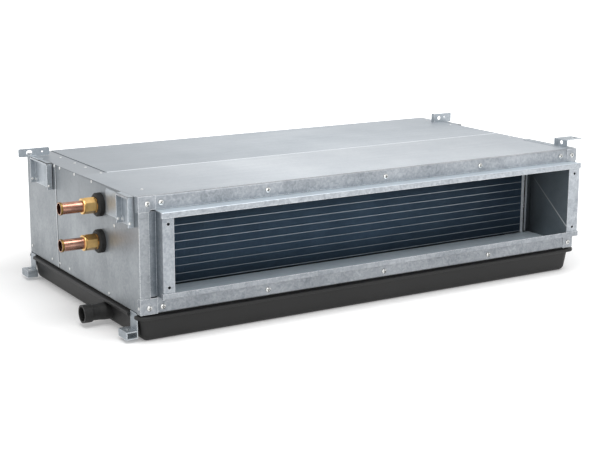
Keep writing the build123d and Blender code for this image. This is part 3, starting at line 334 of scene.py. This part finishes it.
# End plates of the coil. Bright galvanised sheet that holds the tubes, with a flange 6.5 mm wide turned along
# the front edge of each.
plate_zinc = galvanised("galvanised_end_plate", "#f5f7f9", "#dde1e5", across_strip, 0.6, 0.6, rough=0.34)
merge_reach = 0.00001
trim = 0.0035
tip_reach = 0.0006
for name, side in (("coil_end_plate_left", -1), ("coil_end_plate_right", 1)):
    bm = bmesh.new()
    bm.from_mesh(nodes[name].data)
    bmesh.ops.remove_doubles(bm, verts=bm.verts, dist=merge_reach)
    plate_low, plate_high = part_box(name)
    tip = plate_low.x if side > 0 else plate_high.x
    flange_tip = [vert for vert in bm.verts if abs(vert.co.x - tip) < tip_reach]
    bmesh.ops.translate(bm, verts=flange_tip, vec=(side * trim, 0.0, 0.0))
    plate = new_piece(name + "_trimmed", bm, plate_zinc)
    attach(plate, "casing")
    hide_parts(name)


# Guide flanges. Each air guide ends at the coil in a return and a narrow flange, with a painted highlight,
# whose upper part leans in a little.
def draw_out(bm, edges, shift):
    """Extrudes edges to a strip and gives the edges at its far side"""
    moved = bmesh.ops.extrude_edge_only(bm, edges=edges)["geom"]
    verts = [item for item in moved if isinstance(item, bmesh.types.BMVert)]
    bmesh.ops.translate(bm, verts=verts, vec=shift)
    return [item for item in moved if isinstance(item, bmesh.types.BMEdge)]


lean_height = 0.232
lean = 0.004
return_depth = 0.0105
flange_width = 0.006
guide_sheet = 0.0012
bm = bmesh.new()
for name, face, turn_in in (("left_air_guide", -0.513, 1.0), ("right_air_guide", 0.528, -1.0)):
    guide_low, guide_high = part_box(name)
    profile = ((0.0, guide_low.z), (0.0, lean_height), (lean, guide_high.z))
    edge = [bm.verts.new((face - turn_in * inset, guide_high.y, height)) for inset, height in profile]
    wall = [bm.edges.new(pair) for pair in zip(edge, edge[1:])]
    wall = draw_out(bm, wall, (0.0, return_depth, 0.0))
    draw_out(bm, wall, (turn_in * flange_width, 0.0, 0.0))
bmesh.ops.recalc_face_normals(bm, faces=bm.faces)
bmesh.ops.solidify(bm, geom=bm.faces[:], thickness=guide_sheet)
# Painted highlight: from the return onwards the guides and flanges are painted a lighter colour.
lay_over(inner_zinc, place_along(inner_zinc, "Y"), "#c4cacf", -0.1940, -0.1938)
flanges = new_piece("guide_flanges", bm, inner_zinc)
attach(flanges, "casing")

# Insulation. Closed-cell foam sheet glued under the front cover, black and dull. Its fine pores are drawn
# 1.4 mm wide so that they show.
pores_per_metre = 700.0
foam, tree, shader = new_material("closed_cell_foam")
place = node(tree, "ShaderNodeTexCoord").outputs["Object"]
cells = node(tree, "ShaderNodeTexVoronoi", {"Vector": place, "Scale": pores_per_metre})
cells = cells.outputs["Distance"]
tint = node(tree, "ShaderNodeMix", {0: cells, 6: colour("#161617"), 7: colour("#242426")}, data_type="RGBA")
tree.links.new(tint.outputs[2], shader.inputs["Base Color"])
roughen(tree, cells, 0.4, 0.001)
shader.inputs["Roughness"].default_value = 0.92
coat(foam, "top_insulation")


# Coil fins. Thin aluminium foil with a blue-black water-shedding coat, pressed on the tubes and kept apart by
# collars. It is drawn 0.3 mm thick and 3.2 mm apart, coarser than real, so that it shows. The pack is painted
# darker towards its right end, and painted shade darkens its top and foot.
def speckled(name, dark, pale, grain, detail, rough, metallic=0.0):
    """Finish between two colours. grain is how fine its specks are per metre, or that along X, Y and Z."""
    material, tree, shader = new_material(name)
    place = node(tree, "ShaderNodeTexCoord").outputs["Object"]
    if isinstance(grain, tuple):
        place = node(tree, "ShaderNodeMapping", {"Vector": place, "Scale": grain}).outputs[0]
        grain = 1.0
    specks = node(tree, "ShaderNodeTexNoise", {"Vector": place, "Scale": grain, "Detail": detail}).outputs[0]
    tint = node(tree, "ShaderNodeMix", {0: specks, 6: colour(dark), 7: colour(pale)}, data_type="RGBA")
    tree.links.new(tint.outputs[2], shader.inputs["Base Color"])
    shader.inputs["Roughness"].default_value = rough
    shader.inputs["Metallic"].default_value = metallic
    return material


def sheet_plate(bm, corner, far_corner):
    """Flat plate between two opposite corners"""
    low = Vector([min(pair) for pair in zip(corner, far_corner)])
    high = Vector([max(pair) for pair in zip(corner, far_corner)])
    verts = bmesh.ops.create_cube(bm, size=1.0)["verts"]
    bmesh.ops.scale(bm, verts=verts, vec=high - low)
    bmesh.ops.translate(bm, verts=verts, vec=(low + high) / 2)


fin_low, fin_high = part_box("coil_fins")
fin_pitch = 0.0032
fin_sheet = 0.0003
fin_count = int((fin_high.x - fin_low.x) / fin_pitch)
bm = bmesh.new()
for fin in range(fin_count):
    x = fin_low.x + (fin + 0.5) * fin_pitch
    sheet_plate(bm, (x - fin_sheet / 2, fin_low.y, fin_low.z), (x + fin_sheet / 2, fin_high.y, fin_high.z))
fin_coat = speckled("blue_black_fin_coat", "#5f7a94", "#7f9ab4", 14.0, 3.0, rough=0.45, metallic=0.3)
# The pack darkens towards its right end; the two below are painted shade at its top and foot.
lay_over(fin_coat, place_along(fin_coat, "X"), "#2c3a4a", 0.05, 0.45, 0.68)
lay_over(fin_coat, place_along(fin_coat, "Z"), "#1c252f", 0.2, 0.25, 0.6)
lay_over(fin_coat, place_along(fin_coat, "Z"), "#222e3a", 0.13, 0.09, 0.5)
fin_pack = new_piece("coil_fin_pack", bm, fin_coat)
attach(fin_pack, "casing")
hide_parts("coil_fins")

# Stiffening ribs. Each fin is stamped with fine bare folds level with the tubes; together they read as thin
# pale lines along the face of the coil.
rib_count = 12
rib_pitch = 0.01755
rib_low = 0.0857
rib_height = 0.0011
rib_depth = 0.001
bm = bmesh.new()
for row in range(rib_count):
    level = rib_low + row * rib_pitch
    foot = (fin_low.x, fin_low.y, level - rib_height / 2)
    sheet_plate(bm, foot, (fin_high.x, fin_low.y + rib_depth, level + rib_height / 2))
bare_fold = speckled("bare_aluminium_fold", "#8a949c", "#bcc4ca", 60.0, 2.0, rough=0.4, metallic=0.6)
ribs = new_piece("fin_ribs", bm, bare_fold)
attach(ribs, "casing")


# Coil tubes, return bends and headers. Drawn copper, brazed together, with soft lengthwise drawing marks, set
# 2 mm apart so that they show, and darker heat tint in patches.
def drawn_copper(name, pale, dark, rough):
    """Copper with drawing marks along X"""
    material, tree, shader = new_material(name)
    place = node(tree, "ShaderNodeTexCoord").outputs["Object"]
    stretch = node(tree, "ShaderNodeMapping", {"Vector": place, "Scale": (14.0, 500.0, 500.0)})
    marks = node(tree, "ShaderNodeTexNoise", {"Vector": stretch.outputs[0], "Scale": 1.0, "Detail": 3.0})
    heat = node(tree, "ShaderNodeTexNoise", {"Vector": place, "Scale": 38.0, "Detail": 3.0})
    tone = node(tree, "ShaderNodeMath", {0: marks.outputs[0], 1: heat.outputs[0]}, operation="ADD")
    share = node(tree, "ShaderNodeMapRange", {"Value": tone.outputs[0], "From Min": 0.75, "From Max": 1.25})
    tint = {0: share.outputs[0], 6: colour(dark), 7: colour(pale)}
    tint = node(tree, "ShaderNodeMix", tint, data_type="RGBA")
    tree.links.new(tint.outputs[2], shader.inputs["Base Color"])
    roughen(tree, marks.outputs[0], 0.1, 0.0003)
    shader.inputs["Metallic"].default_value = 1.0
    shader.inputs["Roughness"].default_value = rough
    return material


copper = drawn_copper("drawn_copper", "#bf9685", "#906352", 0.24)
stained = drawn_copper("heat_stained_copper", "#6d4636", "#352019", 0.4)
coat(copper, "supply_header", "return_header")
coat(stained, "coil_tubes", "return_bends")

# Connection fittings. Brass hexagons turned from bar, with a rim at the outer end, and a brazed brass ring at
# the mouth of each copper stub, tarnished by the flame.
brass = speckled("turned_brass", "#b99154", "#edc888", 70.0, 3.0, rough=0.3, metallic=1.0)
ring_brass = speckled("tarnished_brass_ring", "#5a4524", "#957a47", 160.0, 3.0, rough=0.36, metallic=1.0)
coat(brass, "supply_fitting", "return_fitting")
coat(ring_brass, "stub_rings")

# Grommets and gasket. Moulded black rubber, dull, with a fine dusty grain that is drawn 4 mm wide so that it
# shows.
rubber = speckled("moulded_rubber", "#141414", "#1f1f1e", 260.0, 4.0, rough=0.62)
tree = rubber.node_tree
roughen(tree, tree.nodes["Noise Texture"].outputs[0], 0.2, 0.0004)
tree.nodes["Principled BSDF"].inputs["Specular IOR Level"].default_value = 0.3
coat(rubber, "supply_grommet", "return_grommet", "pan_gasket")

# Drain pan and spigot. Black plastic tray, vacuum formed, with a fine leather-like skin that dulls its sheen.
# The skin is drawn 2 mm wide so that it shows.
pan_skin = speckled("formed_black_plastic", "#1b1b1b", "#252525", 6.0, 2.0, rough=0.5)
tree = pan_skin.node_tree
place = node(tree, "ShaderNodeTexCoord").outputs["Object"]
leather = node(tree, "ShaderNodeTexNoise", {"Vector": place, "Scale": 520.0, "Detail": 3.0}).outputs[0]
roughen(tree, leather, 0.25, 0.0004)
tree.nodes["Principled BSDF"].inputs["Specular IOR Level"].default_value = 0.35
coat(pan_skin, "drain_pan", "drain_spigot")

# Hanging brackets and feet. Thicker galvanised strip, punched and folded, riveted to the casing. Each bracket
# is a channel down the side wall, with a shelf, two webs, a lip and two round ears at its foot, below the
# punched plate that takes the hanging rod. The front left one has a lug behind the upper grommet.
strip_zinc = galvanised("galvanised_bracket_strip", "#b4bbc1", "#858d94", (50.0, 50.0, 50.0), 0.8, 0.5)
coat(strip_zinc, "left_feet")
cover_top = 0.3
plate_foot = 0.30004
wall_line = 0.575
bracket_sheet = 0.0015
channel_depth = 0.0135
lip_height = 0.005
rear_channel = (0.149, 0.255, 0.061)
front_channel = (-0.289, -0.231, 0.063)
ear_radius = 0.006
ear_height = 0.009
ear_inset = 0.006
lug_low = 0.24
lug_high = 0.2945
lug_length = 0.079
lug_corner = 0.008
for name, side, (start, end, drop) in (
    ("front_left_bracket", -1, front_channel),
    ("rear_left_bracket", -1, rear_channel),
    ("front_right_bracket", 1, front_channel),
    ("rear_right_bracket", 1, rear_channel),
):
    bm = bmesh.new()
    bm.from_mesh(nodes[name].data)
    bmesh.ops.remove_doubles(bm, verts=bm.verts, dist=merge_reach)
    whole = bm.verts[:] + bm.edges[:] + bm.faces[:]
    bmesh.ops.bisect_plane(bm, geom=whole, dist=0.000001, plane_co=(0, 0, plate_foot), plane_no=(0, 0, 1),
                           clear_inner=True)
    bmesh.ops.holes_fill(bm, edges=[edge for edge in bm.edges if edge.is_boundary], sides=0)
    wall = side * wall_line
    outer = wall + side * channel_depth
    low = cover_top - drop
    sheet_plate(bm, (wall, start, low), (wall + side * bracket_sheet, end, cover_top))
    sheet_plate(bm, (wall, start, low), (outer, start + bracket_sheet, cover_top))
    sheet_plate(bm, (wall, end - bracket_sheet, low), (outer, end, cover_top))
    sheet_plate(bm, (wall, start, cover_top - bracket_sheet), (outer, end, cover_top))
    sheet_plate(bm, (outer - side * bracket_sheet, start, cover_top - lip_height), (outer, end, cover_top))
    for middle in (start + ear_inset, end - ear_inset):
        ear = bmesh.ops.create_cone(bm, cap_ends=True, segments=20, radius1=ear_radius, radius2=ear_radius,
                                    depth=bracket_sheet)["verts"]
        bmesh.ops.rotate(bm, verts=ear, matrix=Matrix.Rotation(math.pi / 2, 3, "Y"))
        bmesh.ops.translate(bm, verts=ear, vec=(wall + side * bracket_sheet * 1.5, middle, low + ear_height))
    if name == "front_left_bracket":
        lug_end = end + lug_length
        sheet_plate(bm, (wall, end, lug_low), (wall - bracket_sheet, lug_end, lug_high))
        tip = {vert for vert in bm.verts
               if abs(vert.co.y - lug_end) < merge_reach and abs(vert.co.z - lug_high) < merge_reach}
        corner = [edge for edge in bm.edges if tip.issuperset(edge.verts)]
        bmesh.ops.bevel(bm, geom=corner, offset=lug_corner, segments=5, profile=0.5, affect="EDGES",
                        material=-1)
    bracket = new_piece(name + "_folded", bm, strip_zinc)
    soft = bracket.modifiers.new("worn_edges", "BEVEL")
    soft.width = 0.0004
    soft.segments = 2
    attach(bracket, "casing")
    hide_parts(name)

# Panel joints. The side panels meet at an upright seam with a narrow gap, drawn as a dark strip of painted
# shadow, beside a turned edge with a painted highlight. The front cover's rear edge is hemmed over the rear
# cover, with the same painted highlight.
seam_low = 0.061
seam_high = 0.2985
gap_start, gap_end, shade_strip_depth = 0.1278, 0.1306, 0.0002
turn_start, turn_end, turn_depth = 0.1312, 0.1328, 0.0006
hem_start, hem_end = (-0.5155, -0.0212, 0.2998), (0.572, -0.0188, 0.3006)
# Painted shadow: a dark strip laid over the seam gap stands for the shade inside it.
gap_shade_skin = speckled("painted_shadow_in_a_joint", "#25292c", "#474d52", 120.0, 3.0, rough=0.7)
# Painted highlight: the turned edges and the hem take a much lighter copy of the wall zinc.
highlight_edge_zinc = galvanised("galvanised_turned_edge", "#f2f5f8", "#d9dee3", (25.0, 25.0, 25.0), 0.5, 0.9)
bm = bmesh.new()
for side in (-1, 1):
    outside = side * (wall_line + shade_strip_depth)
    sheet_plate(bm, (side * wall_line, gap_start, seam_low), (outside, gap_end, seam_high))
joints = new_piece("panel_joints", bm, gap_shade_skin)
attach(joints, "casing")
bm = bmesh.new()
for side in (-1, 1):
    outside = side * (wall_line + turn_depth)
    sheet_plate(bm, (side * wall_line, turn_start, seam_low), (outside, turn_end, seam_high))
sheet_plate(bm, hem_start, hem_end)
hems = new_piece("turned_edges", bm, highlight_edge_zinc)
soft = hems.modifiers.new("rolled_edges", "BEVEL")
soft.width = 0.0003
soft.segments = 2
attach(hems, "casing")

# Fans. Galvanised scrolls and wheels on a bright ground shaft and a black enamelled motor in a folded cradle.
# The grinding marks run round the shaft in fine rings, drawn 1.1 mm apart, coarser than real.
around_shaft = (900.0, 60.0, 60.0)
ground = speckled("ground_steel", "#8d9196", "#c4c7ca", around_shaft, 2.0, rough=0.25, metallic=1.0)
enamel = speckled("black_motor_enamel", "#1d1e20", "#2b2d30", 300.0, 2.0, rough=0.35)
coat(wall_zinc, "left_blower_housing", "right_blower_housing", "motor_cradle")
coat(wall_zinc, "left_blower_wheel", "right_blower_wheel")
coat(ground, "fan_shaft", "motor_bearings")
coat(enamel, "motor_body")

# Filter. Extruded aluminium frame with a woven nylon net that washes clean. The net's threads are drawn 4 mm
# apart and the die lines along the frame 3 mm apart, coarser than real, so that they show.
die_lines = (6.0, 300.0, 300.0)
anodised = speckled("extruded_aluminium", "#9ea3a7", "#c6c9cc", die_lines, 3.0, rough=0.38, metallic=0.9)
nylon = speckled("woven_nylon", "#34373a", "#55595d", 30.0, 3.0, rough=0.6)
coat(anodised, "filter_frame")
net_low, net_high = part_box("filter_mesh")
thread_half = 0.00045
thread_pitch = 0.004
middle = (net_low + net_high) / 2
bm = bmesh.new()
for thread in range(int((net_high.x - net_low.x) / thread_pitch)):
    x = net_low.x + (thread + 0.5) * thread_pitch
    far = (x + thread_half, middle.y + thread_half, net_high.z)
    sheet_plate(bm, (x - thread_half, middle.y, net_low.z), far)
for thread in range(int((net_high.z - net_low.z) / thread_pitch)):
    z = net_low.z + (thread + 0.5) * thread_pitch
    near = (net_low.x, middle.y - thread_half, z - thread_half)
    sheet_plate(bm, near, (net_high.x, middle.y, z + thread_half))
net = new_piece("filter_net", bm, nylon)
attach(net, "filter")
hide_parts("filter_mesh")

# Electrical box. Folded galvanised box and lid on the right wall, with moulded terminals and a cable gland.
nylon_black = speckled("moulded_nylon", "#1b1b1c", "#272728", 350.0, 2.0, rough=0.45)
coat(wall_zinc, "electrical_box", "electrical_lid")
coat(nylon_black, "terminal_block", "cable_gland")


# Screws and rivets. Zinc-plated pan heads with a cross recess hold rails, corners and walls, and stand where
# the model has plain heads. Blind rivets with a hollow stem hold the brackets, at the ears and the webs.
def fastener(cross):
    """Round head of radius 1 and height 1 that faces +Z, with a cross or a small square sunk in its middle"""
    dome = 0.55
    arm = 0.62 if cross else 0.25
    pit_depth = 0.25
    pit_taper = 0.7
    bm = bmesh.new()
    bmesh.ops.create_grid(bm, x_segments=5, y_segments=5, size=1.0)
    for vert in bm.verts:
        reach = max(abs(vert.co.x), abs(vert.co.y))
        if reach > 0:
            vert.co *= reach / vert.co.length
        vert.co.z = 1.0 - dome * reach ** 3
    rim = [edge for edge in bm.edges if edge.is_boundary]
    skirt = bmesh.ops.extrude_edge_only(bm, edges=rim)["geom"]
    for vert in [item for item in skirt if isinstance(item, bmesh.types.BMVert)]:
        vert.co.z = 0.0
    sunk = []
    for face in bm.faces:
        middle = face.calc_center_median()
        near = min(abs(middle.x), abs(middle.y)) < 0.1 and max(abs(middle.x), abs(middle.y)) < arm
        if near and face.normal.z > 0.3:
            sunk.append(face)
    pit = bmesh.ops.extrude_face_region(bm, geom=sunk)["geom"]
    for vert in [item for item in pit if isinstance(item, bmesh.types.BMVert)]:
        vert.co *= pit_taper
        vert.co.z -= pit_depth
    bmesh.ops.delete(bm, geom=sunk, context="FACES_ONLY")
    mesh = bpy.data.meshes.new("fastener")
    bm.to_mesh(mesh)
    bm.free()
    return mesh


def islands(name):
    """Lowest and highest corner of each separate solid of a CAD node"""
    bm = bmesh.new()
    bm.from_mesh(nodes[name].data)
    bmesh.ops.remove_doubles(bm, verts=bm.verts, dist=merge_reach)
    left_over = set(bm.verts)
    boxes = []
    while left_over:
        group = [left_over.pop()]
        for vert in group:
            for edge in vert.link_edges:
                other = edge.other_vert(vert)
                if other in left_over:
                    left_over.remove(other)
                    group.append(other)
        low = Vector([min(vert.co[axis] for vert in group) for axis in range(3)])
        high = Vector([max(vert.co[axis] for vert in group) for axis in range(3)])
        boxes.append((low, high))
    bm.free()
    return sorted(boxes, key=lambda box: tuple(box[0]))


rivet_skin = speckled("bright_rivet", "#bfc1c1", "#f0f0ee", 500.0, 2.0, rough=0.35, metallic=0.8)
plated = speckled("bright_zinc_plate", "#b5b7b7", "#e6e6e3", 500.0, 2.0, rough=0.22, metallic=1.0)
# Painted shade: ambient occlusion darkens the screw heads in their cross recess and at the foot of the skirt.
occlusion_reach = 0.003
hollow_shade = node(plated.node_tree, "ShaderNodeAmbientOcclusion", {"Distance": occlusion_reach}, samples=8)
lay_over(plated, hollow_shade.outputs["AO"], "#23282c", 0.9, 0.5, 0.9)
rivet_radius = 0.003
rivet_height = 0.0014
web_rivet_reach = 0.0095
driven_turn = 0.7
casing_middle = (cad_box[0] + cad_box[1]) / 2
channel_heads = []
for side in (-1, 1):
    for start, end, drop in (rear_channel, front_channel):
        height = cover_top - drop + ear_height
        ear_face = side * (wall_line + 2 * bracket_sheet)
        for middle in (start + ear_inset, end - ear_inset):
            foot = Vector((ear_face, middle, height))
            channel_heads.append((foot, Vector((side, 0, 0)), rivet_radius, rivet_height))
        for face in (start, end - bracket_sheet):
            foot = Vector((side * (wall_line + web_rivet_reach), face, height))
            channel_heads.append((foot, Vector((0, -1, 0)), rivet_radius, rivet_height))


def head_places(name):
    """Middle of each head's underside, the way that it faces, its radius and its height"""
    if name == "bracket_rivets":
        return channel_heads
    places = []
    for low, high in islands(name):
        size = high - low
        axis = min(range(3), key=lambda n: size[n])
        outward = Vector([0.0, 0.0, 0.0])
        outward[axis] = math.copysign(1.0, (low + high)[axis] / 2 - casing_middle[axis])
        places.append(((low + high) / 2 - outward * size[axis] / 2, outward, max(size) / 2, size[axis]))
    return places


for name, cross, skin, grow in (
    ("front_screws", True, plated, 1.15),
    ("side_screws", True, rivet_skin, 1.1),
    ("bracket_rivets", False, rivet_skin, 1.0),
):
    template = fastener(cross)
    bm = bmesh.new()
    for count, (foot, outward, radius, height) in enumerate(head_places(name)):
        upright = outward.to_track_quat("Z", "Y").to_matrix().to_4x4()
        turn = upright @ Matrix.Rotation(driven_turn * count, 4, "Z")
        before = len(bm.verts)
        bm.from_mesh(template)
        bm.verts.ensure_lookup_table()
        head = bm.verts[before:]
        bmesh.ops.scale(bm, verts=head, vec=(radius * grow, radius * grow, height))
        bmesh.ops.transform(bm, verts=head, matrix=Matrix.Translation(foot) @ turn)
    bmesh.ops.recalc_face_normals(bm, faces=bm.faces)
    heads = new_piece(name + "_heads", bm, skin)
    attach(heads, "casing")
    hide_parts(name)
